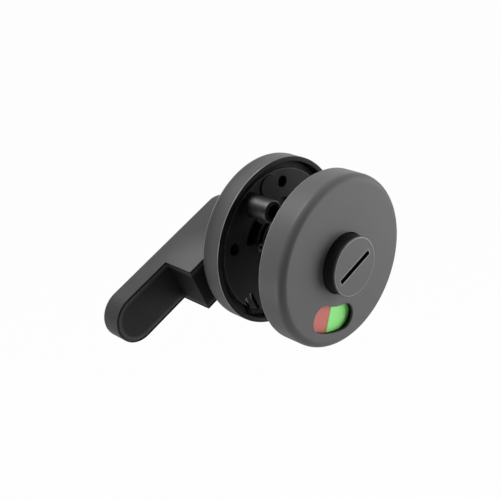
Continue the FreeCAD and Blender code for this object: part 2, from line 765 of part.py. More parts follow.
def bolt_insert(label, angle):
    """A threaded brass insert in the outer plate, opposite a fixing post."""
    insert = new_piece(label)
    low, high = outer.between("plate_recess", OUTER_BACK)
    ring = cross_sketch(insert, f"{label}_ring", low)
    across, along = f"fixing_circle * cos({angle})", f"fixing_circle * sin({angle})"
    circle(ring, "edge", "post_diameter / 2", across, along)
    circle(ring, "bore", "insert_bore / 2", across, along)
    pad(insert, ring, low, high)
    return insert


cover = rose_cover(outer, OUTER_FACE, "button_radius + button_fit")
low, high = outer.between(f"{OUTER_FACE} - cover_face", OUTER_FACE)
window = cross_sketch(cover, "window", low)
ring_slot(window, "window", f"({WINDOW_MOST} - window_width / 2)", "window_width / 2",
          "window_centre", "window_half_span")
pocket(cover, window, low, high)
least, most, front = value(WINDOW_LEAST), value(WINDOW_MOST), value(outer.at(OUTER_FACE))
soften(cover, "window_edge_round", "Fillet", "window_edge",
       lambda point: close(point.y, front) and least - 0.01 < radius_of(point) < most + 0.01)

plate = base_plate(outer, OUTER_BACK, "shank_radius + shank_fit", "0")
low, high = outer.between(OUTER_BACK, BOSS_FACE)
boss = cross_sketch(plate, "outer_boss", low)
circle(boss, "edge", "bush_flange_radius")
circle(boss, "bore", "shank_radius + shank_fit")
pad(plate, boss, low, high)

bolt_insert("bolt_insert_upper", "post_angle")
bolt_insert("bolt_insert_lower", "(post_angle + 180)")
release_button()
indicator_disc()
indicator_label("indicator_red_label", "window_centre - label_sweep", "window_centre")
indicator_label("indicator_green_label", "window_centre", "window_centre + label_sweep")
friction_washer(outer, "release_friction_washer", f"{BOSS_FACE} + end_play")
thrust_washer(outer, "release_thrust_washer")
retaining_ring(outer, "release_circlip", "turn_angle")


# Spindle: a plain square bar that floats between the two blind sockets

spindle = new_piece("spindle")
low = f"{outer.at('release_socket_depth')} + spindle_fit"
high = f"{inner.at('turn_socket_depth')} - spindle_fit"
bar = cross_sketch(spindle, "spindle_bar", low, "turn_angle")
rectangle(bar, "bar", "spindle_side", "spindle_side")
pad(spindle, bar, low, high)


# Every feature is sound and every piece is one solid before anything is written

doc.recompute()
for thing in doc.Objects:
    if {"Invalid", "Error"} & set(thing.State):
        raise RuntimeError(f"{thing.Label} failed: {thing.State}")
for piece in pieces:
    if piece.Shape.isNull() or not piece.Shape.isValid() or len(piece.Shape.Solids) != 1:
        raise RuntimeError(f"{piece.Label} is not one sound solid")

os.makedirs("parts", exist_ok=True)
for piece in pieces:
    piece.Shape.exportStep(f"parts/{piece.Label}.step")
    corners = piece.Shape.BoundBox
    print(f"{piece.Label:26s} {piece.Shape.Volume:9.1f} mm3  y {corners.YMin:6.2f} to {corners.YMax:6.2f}")
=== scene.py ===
import math

import bpy
from mathutils import Matrix, Vector


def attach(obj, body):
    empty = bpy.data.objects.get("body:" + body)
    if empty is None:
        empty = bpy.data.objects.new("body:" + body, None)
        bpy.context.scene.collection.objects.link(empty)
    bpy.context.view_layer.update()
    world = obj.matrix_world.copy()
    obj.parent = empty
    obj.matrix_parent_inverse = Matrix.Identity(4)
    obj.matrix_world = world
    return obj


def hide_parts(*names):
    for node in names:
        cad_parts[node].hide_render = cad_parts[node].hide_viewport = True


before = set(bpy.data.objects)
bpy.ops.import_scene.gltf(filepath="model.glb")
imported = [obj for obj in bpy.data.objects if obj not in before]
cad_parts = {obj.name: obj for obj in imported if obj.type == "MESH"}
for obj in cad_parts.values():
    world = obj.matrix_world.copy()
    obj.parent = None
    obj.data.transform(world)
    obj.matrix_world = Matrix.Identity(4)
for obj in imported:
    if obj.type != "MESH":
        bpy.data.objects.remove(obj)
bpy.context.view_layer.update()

# Camera: it stands to the left of the coin release and looks down on it, rolled a little, with the
# focal length that the photograph's outlines give. The floor lies well below, as the lock hangs free.

CAMERA_PLACE = (-0.20292, -0.16702, 0.08522)
CAMERA_AZIMUTH, CAMERA_ELEVATION, CAMERA_ROLL = -45.985, 18.011, 3.994
FOCAL_PIXELS, FRAME_PIXELS, SENSOR_WIDTH = 945.5, 500, 36

camera_data = bpy.data.cameras.new("camera")
camera_data.sensor_width = SENSOR_WIDTH
camera_data.lens = FOCAL_PIXELS / FRAME_PIXELS * SENSOR_WIDTH
camera_data.clip_start = 0.01
camera = bpy.data.objects.new("camera", camera_data)
bpy.context.scene.collection.objects.link(camera)
camera.matrix_world = (Matrix.Translation(CAMERA_PLACE)
                       @ Matrix.Rotation(math.radians(CAMERA_AZIMUTH), 4, "Z")
                       @ Matrix.Rotation(math.radians(90 - CAMERA_ELEVATION), 4, "X")
                       @ Matrix.Rotation(math.radians(CAMERA_ROLL), 4, "Z"))
bpy.context.scene.camera = camera

# Base plates: the two glass-filled nylon mouldings that carry the moving parts. Each is a raised disc
# on a thin flange, with a circlip pocket, screw holes, two low round pads, rib pockets and a springy
# snap arm. The inner one has bosses round its two fixing posts, the outer one a boss at its back.

MM = 0.001


class Shade:
    """A value that varies over a surface. Arithmetic on it adds Math nodes."""

    def __init__(self, finish, socket):
        self.finish = finish
        self.socket = socket

    def math(self, operation, *others):
        sockets = dict(enumerate((self, *others)))
        return self.finish.node("ShaderNodeMath", {"operation": operation}, sockets)

    def __add__(self, other):
        return self.math("ADD", other)

    __radd__ = __add__

    def __mul__(self, other):
        return self.math("MULTIPLY", other)

    __rmul__ = __mul__

    def __sub__(self, other):
        return self.math("SUBTRACT", other)

    def __rsub__(self, other):
        return (self * -1) + other

    def step(self, start, end):
        """0 below start and 1 above end, smooth between. Start may be the larger of the two."""
        return self.finish.node("ShaderNodeMapRange", {"interpolation_type": "SMOOTHSTEP"},
                                {"Value": self, "From Min": start, "From Max": end})


class Nodes:
    """The nodes of a material or of the studio round the lock."""

    def __init__(self, tree):
        self.tree = tree

    def set_sockets(self, node, values):
        """Link the values that vary and write the plain ones on the sockets."""
        for key, given in values.items():
            if isinstance(given, Shade):
                self.tree.links.new(given.socket, node.inputs[key])
            else:
                node.inputs[key].default_value = given

    def node(self, kind, settings, values, output=0):
        """Any node, as the value of one of its outputs."""
        made = self.tree.nodes.new(kind)
        for key, setting in settings.items():
            setattr(made, key, setting)
        self.set_sockets(made, values)
        return Shade(self, made.outputs[output])


class Finish(Nodes):
    """A procedural material built round one Principled shader."""

    def __init__(self, name, **constants):
        self.material = bpy.data.materials.new(name)
        self.material.use_nodes = True
        super().__init__(self.material.node_tree)
        self.shader = next(n for n in self.tree.nodes if n.type == "BSDF_PRINCIPLED")
        self.use(**constants)

    def use(self, **values):
        """Set the shader's sockets, a plain number on the socket itself and what varies as a link."""
        self.set_sockets(self.shader, {key.replace("_", " "): value for key, value in values.items()})
        return self.material

    def place(self):
        """The point on the object, in metres, in the part's frame."""
        return self.node("ShaderNodeTexCoord", {}, {}, "Object")

    def axes(self):
        """The three coordinates of that point, apart."""
        split = self.node("ShaderNodeSeparateXYZ", {}, {"Vector": self.place()})
        return [Shade(self, output) for output in split.socket.node.outputs]

    def noise(self, size, detail=2.0, stretch=(1, 1, 1)):
        """Soft random patches of about that size in metres, between 0 and 1."""
        scaled = self.node("ShaderNodeMapping", {}, {"Vector": self.place(), "Scale": stretch})
        return self.node("ShaderNodeTexNoise", {},
                         {"Vector": scaled, "Scale": 1 / size, "Detail": detail})

    def blend(self, amount, first, second):
        """A colour between two others."""
        return self.node("ShaderNodeMix", {"data_type": "RGBA"}, {0: amount, 6: first, 7: second}, 2)

    def bumps(self, height, depth):
        """Turn a height between 0 and 1 into relief of that depth in metres."""
        return self.node("ShaderNodeBump", {}, {"Height": height, "Distance": depth, "Strength": 1.0})


def grey(level):
    """A neutral colour."""
    return (level, level, level, 1)


def deselect():
    """Leave nothing selected."""
    bpy.ops.object.select_all(action="DESELECT")


def work_on(piece):
    """Select this piece alone and make it active."""
    deselect()
    piece.select_set(True)
    bpy.context.view_layer.objects.active = piece


def pick(piece, kind, wanted):
    """In edit mode, select only the vertices, edges or faces whose points all pass a test."""
    bpy.ops.mesh.select_mode(type=kind)
    bpy.ops.mesh.select_all(action="DESELECT")
    bpy.ops.object.mode_set(mode="OBJECT")
    mesh = piece.data
    passed = [wanted(vertex.co) for vertex in mesh.vertices]
    if kind == "VERT":
        mesh.vertices.foreach_set("select", passed)
    elif kind == "EDGE":
        for edge in mesh.edges:
            edge.select = all(passed[number] for number in edge.vertices)
    else:
        for face in mesh.polygons:
            face.select = all(passed[number] for number in face.vertices)
    bpy.ops.object.mode_set(mode="EDIT")


def turn_radius(point):
    """Distance from the spindle's axis."""
    return math.hypot(point.x, point.z)


def near(first, second, slack=0.02 * MM):
    """Whether two lengths are the same, within a slack."""
    return abs(first - second) < slack


def bearing(degrees, reach=1.0):
    """The point at an angle counted from +X towards +Z, across and along."""
    return reach * math.cos(math.radians(degrees)), reach * math.sin(math.radians(degrees))


def rod(name, radius, low, high, across=0.0, along=0.0, facets=64, first=90.0):
    """A plain round bar along Y, as the start of a piece. Its first corner points to an angle."""
    deselect()
    bpy.ops.mesh.primitive_cylinder_add(
        vertices=facets, radius=radius, depth=high - low, end_fill_type="NGON",
        location=(across, (low + high) / 2, along), rotation=(math.pi / 2, math.radians(90 - first), 0))
    piece = bpy.context.object
    piece.name = name
    bpy.ops.object.transform_apply(location=True, rotation=True, scale=True)
    return piece


def bar(name, length, width, low, high, across=0.0, along=0.0, angle=0.0):
    """A plain rectangular bar along Y, its length laid at an angle, as the start of a piece."""
    deselect()
    bpy.ops.mesh.primitive_cube_add(size=1, location=(across, (low + high) / 2, along),
                                    rotation=(0, math.radians(-angle), 0),
                                    scale=(length, high - low, width))
    piece = bpy.context.object
    piece.name = name
    bpy.ops.object.transform_apply(location=True, rotation=True, scale=True)
    return piece


def turned(name, corners, facets=128, across=0.0, along=0.0, solid=False):
    """Turn an outline of (radius, height) corners about an axis along Y, ring after ring."""
    deselect()
    radius, height = corners[0]
    bpy.ops.mesh.primitive_circle_add(vertices=facets, radius=radius, fill_type="NOTHING",
                                      location=(across, height, along), rotation=(math.pi / 2, 0, 0))
    piece = bpy.context.object
    piece.name = name
    bpy.ops.object.transform_apply(location=True, rotation=True, scale=True)
    bpy.ops.object.mode_set(mode="EDIT")
    bpy.ops.mesh.select_mode(type="EDGE")
    bpy.ops.mesh.select_all(action="SELECT")
    for next_radius, next_height in corners[1:] if solid else corners[1:] + corners[:1]:
        bpy.ops.mesh.extrude_region_move(TRANSFORM_OT_translate={"value": (0, next_height - height, 0)})
        if next_radius != radius:
            scale = next_radius / radius
            bpy.ops.transform.resize(value=(scale, 1, scale),
                                     center_override=(across, next_height, along))
        radius, height = next_radius, next_height
    bpy.ops.mesh.select_all(action="SELECT")
    if solid:
        bpy.ops.mesh.fill_holes(sides=0)
    bpy.ops.mesh.select_mode(type="VERT")
    bpy.ops.mesh.select_all(action="SELECT")
    bpy.ops.mesh.remove_doubles(threshold=0.001 * MM)
    bpy.ops.mesh.normals_make_consistent(inside=False)
    bpy.ops.object.mode_set(mode="OBJECT")
    return piece


def apply_boolean(piece, tool, operation):
    """Join another mesh to a piece or take it out, and throw it away."""
    work_on(piece)
    work = piece.modifiers.new("work", "BOOLEAN")
    work.operation = operation
    work.solver = "EXACT"
    work.object = tool
    bpy.ops.object.modifier_apply(modifier="work")
    bpy.data.objects.remove(tool)


def cut_away(piece, *tools):
    """Take apart standing meshes out of a piece in one go."""
    if len(tools) > 1:
        work_on(tools[0])
        for tool in tools[1:]:
            tool.select_set(True)
        bpy.ops.object.join()
    apply_boolean(piece, tools[0], "DIFFERENCE")


def bevel_picked(piece, width, segments, wanted):
    """Round the edges whose two ends pass a test."""
    work_on(piece)
    bpy.ops.object.mode_set(mode="EDIT")
    pick(piece, "EDGE", wanted)
    bpy.ops.mesh.bevel(offset=width, segments=segments, profile=0.5, affect="EDGES",
                       clamp_overlap=False)
    bpy.ops.object.mode_set(mode="OBJECT")


def break_edges(piece, width, segments=2):
    """Take the sharpness off every edge that turns by more than 30 degrees."""
    work_on(piece)
    edge = piece.modifiers.new("edge", "BEVEL")
    edge.width = width
    edge.segments = segments
    edge.limit_method = "ANGLE"
    edge.angle_limit = math.radians(30)
    edge.use_clamp_overlap = False
    bpy.ops.object.modifier_apply(modifier="edge")


def finish_piece(piece, material, body, slot, *replaced):
    """Smooth the piece with its flats kept flat, give it its finish and let it ride."""
    work_on(piece)
    bpy.ops.object.shade_smooth_by_angle(angle=math.radians(35))
    even = piece.modifiers.new("even", "WEIGHTED_NORMAL")
    even.keep_sharp = True
    even.weight = 80
    bpy.ops.object.modifier_apply(modifier="even")
    piece.data.materials.clear()
    piece.data.materials.append(material)
    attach(piece, body)
    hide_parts(*replaced)


INNER_PANEL, OUTER_PANEL = 16.4 * MM, 0.0
INNER_BACK, OUTER_BACK, HUB_BACK = 4.9 * MM, 4.6 * MM, 5.25 * MM
PLATE_RECESS, FLANGE_DEPTH, CLIP_FLOOR = 1.25 * MM, 2.85 * MM, 3.35 * MM
PLATE_EDGE, FLANGE_EDGE = 22.2 * MM, 24.35 * MM
BUSH_SEAT, SHANK_HOLE, CLIP_POCKET, BACK_BOSS = 6.32 * MM, 5.06 * MM, 8.4 * MM, 8.6 * MM
FIXING_CIRCLE = 18.2 * MM
POST_ANGLES = (135.0, 315.0)
QUARTERS = (0, 90, 180, 270)
POST_HOLE, SCREW_HOLE, PIN_HOLE = 3.46 * MM, 1.8 * MM, 0.55 * MM
BOSS = {"foot": 3.93 * MM, "top": 3.6 * MM, "height": 1.8 * MM, "sunk": 0.3 * MM}
ROUND_PAD = {"angles": (107.5, 287.5), "radius": 3.6 * MM, "proud": 0.35 * MM, "sunk": 0.5 * MM}
SNAP_ARM = {"circle": 19.6 * MM, "angle": 236.0, "lean": 304.0, "length": 8.2 * MM,
            "width": 1.9 * MM, "slot": 0.8 * MM, "drop": 0.35 * MM}
RIB_POCKET = {"least": 9.4 * MM, "most": 13.3 * MM, "start": 142.0, "sweep": 37.0, "floor": 1.2 * MM}
EDGE_BREAK = 0.12 * MM
CUTTER_SPARE = 0.5 * MM


def rib_pocket(low, high, start):
    """A curved block that leaves one of the pockets between the ribs."""
    middle = (RIB_POCKET["least"] + RIB_POCKET["most"]) / 2
    across, along = bearing(start, middle)
    deselect()
    bpy.ops.mesh.primitive_plane_add(size=1, location=(across, (low + high) / 2, along),
                                     rotation=(0, math.radians(-start), 0))
    block = bpy.context.object
    block.name = "rib_block"
    block.scale = (RIB_POCKET["most"] - RIB_POCKET["least"], high - low, 1)
    bpy.ops.object.transform_apply(location=True, rotation=True, scale=True)
    bpy.ops.object.mode_set(mode="EDIT")
    bpy.ops.mesh.select_all(action="SELECT")
    bpy.ops.mesh.spin(steps=12, angle=math.radians(RIB_POCKET["sweep"]),
                      center=(0, 0, 0), axis=(0, 1, 0))
    bpy.ops.mesh.select_all(action="SELECT")
    bpy.ops.mesh.normals_make_consistent(inside=False)
    bpy.ops.object.mode_set(mode="OBJECT")
    return block


def base_plate(name, panel, outwards, outline, back, boss_height):
    """One moulding: turned outline, bosses and pads, then all that is cored out of its door side."""
    def between(near_depth, far_depth):
        """Two depths from the panel as heights, the lower one first."""
        return sorted((panel + outwards * near_depth, panel + outwards * far_depth))

    plate = turned(name, [(radius, panel + outwards * depth) for radius, depth in outline], 192)
    if boss_height:
        foot = panel + outwards * (PLATE_RECESS + BOSS["sunk"])
        top = panel + outwards * (PLATE_RECESS - boss_height)
        for angle in POST_ANGLES:
            boss = turned("boss", [(BOSS["foot"], foot), (BOSS["top"], top)], 64,
                          *bearing(angle, FIXING_CIRCLE), solid=True)
            apply_boolean(plate, boss, "UNION")
    low, high = between(PLATE_RECESS - ROUND_PAD["proud"], PLATE_RECESS + ROUND_PAD["sunk"])
    for angle in ROUND_PAD["angles"]:
        pad = rod("round_pad", ROUND_PAD["radius"], low, high, *bearing(angle, FIXING_CIRCLE))
        apply_boolean(plate, pad, "UNION")

    above = PLATE_RECESS - boss_height - CUTTER_SPARE
    low, high = between(above, back + CUTTER_SPARE)
    pin_circle = (PLATE_EDGE + FLANGE_EDGE) / 2
    tools = [rod("tool", POST_HOLE, low, high, *bearing(angle, FIXING_CIRCLE)) for angle in POST_ANGLES]
    tools += [rod("tool", SCREW_HOLE, low, high, *bearing(angle, FIXING_CIRCLE)) for angle in QUARTERS]
    tools += [rod("tool", PIN_HOLE, low, high, *bearing(angle, pin_circle), facets=32)
              for angle in (0, 180)]
    low, high = between(above, back - RIB_POCKET["floor"])
    tools += [rib_pocket(low, high, RIB_POCKET["start"] + turn) for turn in QUARTERS]
    cut_away(plate, *tools)

    start = bearing(SNAP_ARM["angle"], SNAP_ARM["circle"])
    lean = bearing(SNAP_ARM["lean"])
    side = (-lean[1], lean[0])
    run = SNAP_ARM["length"] / 2

    def arm_bar(offset, width, depth):
        """A bar beside or over the snap arm."""
        return bar("tool", SNAP_ARM["length"], width, *between(above, depth),
                   start[0] + lean[0] * run + side[0] * offset,
                   start[1] + lean[1] * run + side[1] * offset, SNAP_ARM["lean"])

    slot_offset = (SNAP_ARM["width"] + SNAP_ARM["slot"]) / 2
    cut_away(plate, arm_bar(slot_offset, SNAP_ARM["slot"], FLANGE_DEPTH),
             arm_bar(-slot_offset, SNAP_ARM["slot"], FLANGE_DEPTH))
    over_arm = SNAP_ARM["width"] + SNAP_ARM["slot"] / 2
    cut_away(plate, arm_bar(0, over_arm, PLATE_RECESS + SNAP_ARM["drop"]))
    break_edges(plate, EDGE_BREAK)
    return plate


def moulded_nylon(name, level=0.012, highlight_and_shade=None):
    """Glass-filled nylon: dull, with a fine cloudy skin and a spark-eroded grain."""
    nylon = Finish(name, Specular_IOR_Level=0.15)
    cloud = nylon.noise(4 * MM, 4)
    grain = nylon.noise(0.16 * MM, 2)
    skin = (cloud - 0.5) * 0.9 + (grain - 0.5) * 0.5 + 0.5
    colour = nylon.blend(skin, grey(level * 0.7), grey(level * 1.35))
    # Painted light: a painted highlight line, and a zone of near-black painted shade.
    if highlight_and_shade:
        line, painted_deep_shade = highlight_and_shade(nylon)
        colour = nylon.blend(painted_deep_shade, nylon.blend(line, colour, grey(0.45)), grey(0.002))
    nylon.use(Base_Color=colour, Roughness=0.5 + cloud * 0.2, Normal=nylon.bumps(grain, 0.006 * MM))
    return nylon.material


DOOR_SIDE = [(CLIP_POCKET, CLIP_FLOOR), (CLIP_POCKET, PLATE_RECESS), (PLATE_EDGE, PLATE_RECESS),
             (PLATE_EDGE, FLANGE_DEPTH), (FLANGE_EDGE, FLANGE_DEPTH)]
inner_outline = [(BUSH_SEAT, INNER_BACK), (BUSH_SEAT, CLIP_FLOOR), *DOOR_SIDE,
                 (FLANGE_EDGE, INNER_BACK)]
outer_outline = [(SHANK_HOLE, HUB_BACK), (SHANK_HOLE, CLIP_FLOOR), *DOOR_SIDE,
                 (FLANGE_EDGE, OUTER_BACK), (BACK_BOSS, OUTER_BACK), (BACK_BOSS, HUB_BACK)]
inner_plate = base_plate("inner_plate", INNER_PANEL, 1, inner_outline, INNER_BACK, BOSS["height"])
outer_plate = base_plate("outer_plate", OUTER_PANEL, -1, outer_outline, HUB_BACK, 0.0)


def distance(first, second):
    """The straight way that two lengths at a right angle make."""
    return (first * first + second * second).math("SQRT")


def plate_highlight_and_shade(nylon):
    """Painted highlights, a line on the disc's edge and one beside the snap arm, and near-black painted
    shade round the disc, over the flange.
    """
    across, _, along = nylon.axes()
    reach = distance(across, along)
    ring = reach.step(21.95 * MM, 22.05 * MM) * reach.step(22.3 * MM, 22.22 * MM)
    root = bearing(SNAP_ARM["angle"], SNAP_ARM["circle"])
    lean = bearing(SNAP_ARM["lean"])
    run = (across - root[0]) * lean[0] + (along - root[1]) * lean[1]
    aside = ((along - root[1]) * lean[0] - (across - root[0]) * lean[1]).math("ABSOLUTE")
    slot_edge = aside.step(0.7 * MM, 0.8 * MM) * aside.step(1.3 * MM, 1.2 * MM)
    arm = slot_edge * run.step(-0.5 * MM, -0.2 * MM) * run.step(2.4 * MM, 0.9 * MM) * 2.4
    line = (ring * 0.25).math("MAXIMUM", arm) * (0.2 + nylon.noise(4 * MM, 3) * 0.9)
    return line, reach.step(PLATE_EDGE + 0.05 * MM, PLATE_EDGE + 0.3 * MM)


# The plates' nylon carries painted highlight lines on edges and painted shade round the raised disc.
plate_nylon = moulded_nylon("plate_nylon", highlight_and_shade=plate_highlight_and_shade)
finish_piece(inner_plate, plate_nylon, "root", "black_nylon", "inner_base_plate")
finish_piece(outer_plate, plate_nylon, "root", "black_nylon", "outer_base_plate")

# Fixing posts: two hollow steel posts that stand through the door. Each is turned from bar, blackened,
# with a flange that seats behind the inner plate and a countersink for the head of its bolt.

POST_BORE, POST_WALL, POST_FLANGE = 2.15 * MM, 3.4 * MM, 4.6 * MM
POST_END, FLANGE_SEAT, POST_HEAD = 8.4 * MM, 21.3 * MM, 22.2 * MM
POST_OUTLINE = [(POST_BORE, POST_END), (POST_WALL - 0.36 * MM, POST_END),
                (POST_WALL, POST_END + 0.36 * MM), (POST_WALL, FLANGE_SEAT), (POST_FLANGE, FLANGE_SEAT),
                (POST_FLANGE, POST_HEAD), (POST_BORE + 1.6 * MM, POST_HEAD),
                (POST_BORE, POST_HEAD - 1.6 * MM)]


def shaded(colour, share):
    """A colour made darker or lighter by a share."""
    return tuple(share * part for part in colour) + (1,)


def turned_steel(name, colour, rough):
    """Steel off the lathe: fine rings round its own axis, a little uneven in gloss."""
    steel = Finish(name, Metallic=1.0)
    cloud = steel.noise(2.2 * MM, 3)
    rings = steel.noise(0.1 * MM, 1, stretch=(0.02, 1, 0.02))
    steel.use(Base_Color=steel.blend(cloud, shaded(colour, 0.82), shaded(colour, 1)),
              Roughness=rough + cloud * 0.1 + (rings - 0.5) * 0.1,
              Normal=steel.bumps(rings, 0.004 * MM))
    return steel.material


post_steel = turned_steel("post_steel", (0.10, 0.10, 0.105), 0.42)
for label, angle in zip(("upper", "lower"), POST_ANGLES):
    post = turned("post_" + label, POST_OUTLINE, 96, *bearing(angle, FIXING_CIRCLE))
    break_edges(post, EDGE_BREAK)
    finish_piece(post, post_steel, "root", "post_steel", "fixing_post_" + label)

# Bearing parts: the lever's pale nylon bush, the spring washers that steady both sides, and the thrust
# washers and circlips that hold the two shanks. The washers are stamped from oiled spring steel.


def refinish(material, *nodes):
    """Give CAD nodes a better finish. Their meshes stay as they are."""
    for node in nodes:
        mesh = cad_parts[node].data
        mesh.materials.clear()
        mesh.materials.append(material)


refinish(moulded_nylon("bush_nylon", 0.42), "turn_bush")
refinish(turned_steel("washer_steel", (0.16, 0.16, 0.17), 0.35),
         "turn_friction_washer", "turn_thrust_washer", "turn_circlip",
         "release_friction_washer", "release_thrust_washer", "release_circlip")

# Inner rose cover: a spun metal cup with a satin black coat, open towards the door. Its face edge is
# rounded, its rim is turned square, and a groove inside the rim snaps over the plate's flange.

ROSE_EDGE = 26.0 * MM
COVER_BORE = 24.5 * MM
COVER_FACE = 1.5 * MM
FACE_ROUND = 2.4 * MM
RIM_SOFTNESS = 0.15 * MM
BEAD = {"near": 2.85 * MM, "width": 1.6 * MM, "depth": 0.35 * MM}


def rose_cup(name, panel, outwards, depth, opening):
    """A cup from its rim to its face, with the groove inside and its outer edges broken."""
    def at(inset):
        """The height of a depth counted outwards from the panel."""
        return panel + outwards * inset

    groove = COVER_BORE + BEAD["depth"]
    bead_far = BEAD["near"] + BEAD["width"]
    cup = turned(name, [
        (ROSE_EDGE, at(0)), (ROSE_EDGE, at(depth)), (opening, at(depth)),
        (opening, at(depth - COVER_FACE)), (COVER_BORE, at(depth - COVER_FACE)),
        (COVER_BORE, at(bead_far)), (groove, at(bead_far - BEAD["depth"])),
        (groove, at(BEAD["near"] + BEAD["depth"])),
        (COVER_BORE, at(BEAD["near"])), (COVER_BORE, at(0))], 192)
    bevel_picked(cup, FACE_ROUND, 14,
                 lambda point: near(point.y, at(depth)) and near(turn_radius(point), ROSE_EDGE))
    bevel_picked(cup, RIM_SOFTNESS, 3, lambda point: near(point.y, at(0)))
    bevel_picked(cup, RIM_SOFTNESS, 3,
                 lambda point: near(point.y, at(depth)) and near(turn_radius(point), opening))
    return cup


def satin_black(name, black_and_shade=None, level=0.105, shade_and_polish=None, painted_highlight=None, shoulder=None):
    """Powder coat: an even dark grey with a fine orange peel. Masks give painted shade, with the coat a
    little smoother there, painted highlights, and near-black painted shade, with a paler painted
    highlight on a shoulder there."""
    coat = Finish(name, Specular_IOR_Level=0.2)
    cloud = coat.noise(9 * MM, 3)
    grain = coat.noise(0.3 * MM, 2)
    speck = coat.noise(0.9 * MM, 1)
    colour = coat.blend(cloud, grey(level * 0.93), grey(level * 1.07))
    rough = 0.40 + cloud * 0.07 + (speck - 0.5) * 0.05
    # Painted shade, where the coat is also a little smoother.
    if shade_and_polish:
        shade_polish_mask = shade_and_polish(coat)
        colour = coat.blend(shade_polish_mask * 0.8, colour, grey(level * 0.35))
        rough = rough - shade_polish_mask * 0.05
    # Painted highlights.
    if painted_highlight:
        highlight_mask = painted_highlight(coat)
        colour = coat.blend(highlight_mask, colour, grey(0.45))
    # Near-black painted shade, on the lever partly its own black, with a painted highlight on the
    # groove's shoulder.
    if black_and_shade:
        dark = black_and_shade(coat)
        black = coat.blend(shoulder(coat), grey(0.010), grey(0.07)) if shoulder else grey(0.006)
        colour = coat.blend(dark, colour, black)
        rough = rough + dark * 0.2
    coat.use(Base_Color=colour, Roughness=rough, Normal=coat.bumps(grain, 0.008 * MM))
    return coat.material


NECK_OPENING = 7.65 * MM
INNER_COVER_DEPTH = 7.5 * MM
inner_cover = rose_cup("inner_rose", INNER_PANEL, 1, INNER_COVER_DEPTH, NECK_OPENING)


def cover_inside_painted_shade(coat, panel, outwards, face_depth):
    """The rim and the inside of a cover, painted near black as shade."""
    across, height, along = coat.axes()
    reach = distance(across, along)
    depth = (height - panel) * outwards
    hollow = (reach.step(COVER_BORE + 0.46 * MM, COVER_BORE + 0.4 * MM)
              * depth.step(face_depth - 0.55 * MM, face_depth - 0.65 * MM))
    rim = reach.step(ROSE_EDGE - 0.1 * MM, ROSE_EDGE - 0.16 * MM) * depth.step(0.15 * MM, 0.08 * MM)
    return hollow.math("MAXIMUM", rim)


def painted_rim_highlight(coat, panel, outwards):
    """A painted highlight: a thin line round the rim's outer corner, stronger on the side towards -X,
    where light falls.
    """
    across, height, along = coat.axes()
    reach = distance(across, along)
    depth = (height - panel) * outwards
    line = (depth.step(0.26 * MM, 0.18 * MM) * reach.step(ROSE_EDGE - 0.2 * MM, ROSE_EDGE - 0.1 * MM)
            * across.step(-2 * MM, -14 * MM))
    return line * (coat.noise(6 * MM, 2) * 1.6 - 0.2).math("MINIMUM", 0.75).math("MAXIMUM", 0.1)


def painted_edge_highlights(coat):
    """Painted highlights: the rim's corner, and a line round the face edge."""
    across, height, along = coat.axes()
    wander = (coat.noise(5 * MM, 2) - 0.5) * 0.1 * MM
    line = distance(across, along) + wander
    strength = (0.2 + coat.noise(3 * MM, 2) * 0.6).math("MINIMUM", 0.6)
    face_edge_highlight = (line.step(ROSE_EDGE - 1.0 * MM, ROSE_EDGE - 0.9 * MM)
                 * line.step(ROSE_EDGE - 0.28 * MM, ROSE_EDGE - 0.4 * MM)
                 * height.step(22.1 * MM, 22.3 * MM) * strength)
    return face_edge_highlight.math("MAXIMUM", painted_rim_highlight(coat, INNER_PANEL, 1))


def side_painted_shade(coat):
    """Painted shade on the cover's side, darker from its rim towards its face."""
    return coat.axes()[1].step(17.5 * MM, 23 * MM) * 0.7


# The same coat as the outer cover's, set darker as painted shade, with painted shade, highlights and
# black inside.
inner_coat = satin_black("inner_rose_coat", level=0.085, shade_and_polish=side_painted_shade, painted_highlight=painted_edge_highlights,
                         black_and_shade=lambda coat: cover_inside_painted_shade(coat, INNER_PANEL, 1, INNER_COVER_DEPTH))
finish_piece(inner_cover, inner_coat, "root", "black_metal", "inner_rose_cover")

# Thumb turn lever: one zinc casting in the same coat, with painted shade over it round a painted
# highlight on the hub's side. A round-ended blade stands over a hub that is cut square at its end wall,
# and a neck and a turned shank run from the hub through the rose. A fine groove with a soft shoulder,
# painted paler as a highlight, runs round its faces towards the door, which are black, partly their own
# black and partly painted shade.

LEVER_ANGLE = 212.7
HALF_WIDTH = 7.9 * MM
TIP_TRAVEL = 43.6 * MM
HUB_REACH = 27.1 * MM
HUB_FACE, BLADE_FACE, BLADE_BACK = 26.7 * MM, 37.9 * MM, 44.9 * MM
NECK, NECK_END = 7.4 * MM, 22.6 * MM
SHANK, SHANK_END = 5.0 * MM, 17.65 * MM
CLIP_GROOVE, CLIP_NEAR, CLIP_FAR = 4.7 * MM, 18.1 * MM, 19.2 * MM
SOCKET, SOCKET_END = 5.1 * MM, 33.0 * MM
BLADE_ROUND = 0.9 * MM
GROOVE_STEPS = ((0.1 * MM, 0.0), (0.04 * MM, -0.4 * MM), (0.3 * MM, 0.0),
                (0.08 * MM, 0.22 * MM), (0.2 * MM, 0.13 * MM), (0.35 * MM, 0.05 * MM))
lever_way = Vector((bearing(LEVER_ANGLE)[0], 0, bearing(LEVER_ANGLE)[1]))

